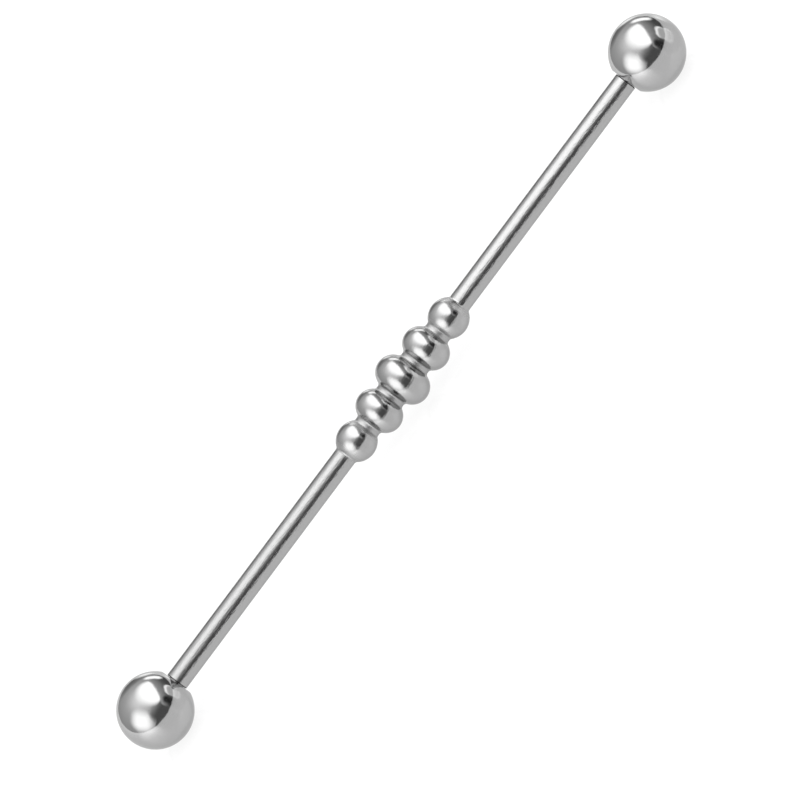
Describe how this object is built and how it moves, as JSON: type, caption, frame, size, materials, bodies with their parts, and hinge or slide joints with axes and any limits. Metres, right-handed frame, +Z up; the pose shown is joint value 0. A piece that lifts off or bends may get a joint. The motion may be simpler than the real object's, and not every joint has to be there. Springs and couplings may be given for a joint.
{
  "type": "industrial barbell",
  "caption": "Straight steel ear barbell with fused beads in its middle and a screw-on ball at each end.",
  "frame": {"origin": "on the bar's axis, midway between the two balls, which is the centre of the whole part", "axes": "+X along the bar to the right ball, +Z up, with the part lying on its two balls 2 mm below the origin"},
  "size_m": [0.0456, 0.004, 0.004],
  "materials": {
    "bar_steel": "polished, with fine polishing lines",
    "ball_steel": "mirror polished"
  },
  "bodies": {
    "bar": {"bar": "bar_steel"},
    "left_ball": {"left_ball": "ball_steel"},
    "right_ball": {"right_ball": "ball_steel"}
  },
  "joints": [
    {"name": "left_ball_off", "type": "slide", "parent": "bar", "child": "left_ball", "axis": [-1, 0, 0], "range_m": [0, 0.008]},
    {"name": "right_ball_off", "type": "slide", "parent": "bar", "child": "right_ball", "axis": [1, 0, 0], "range_m": [0, 0.008]}
  ]
}
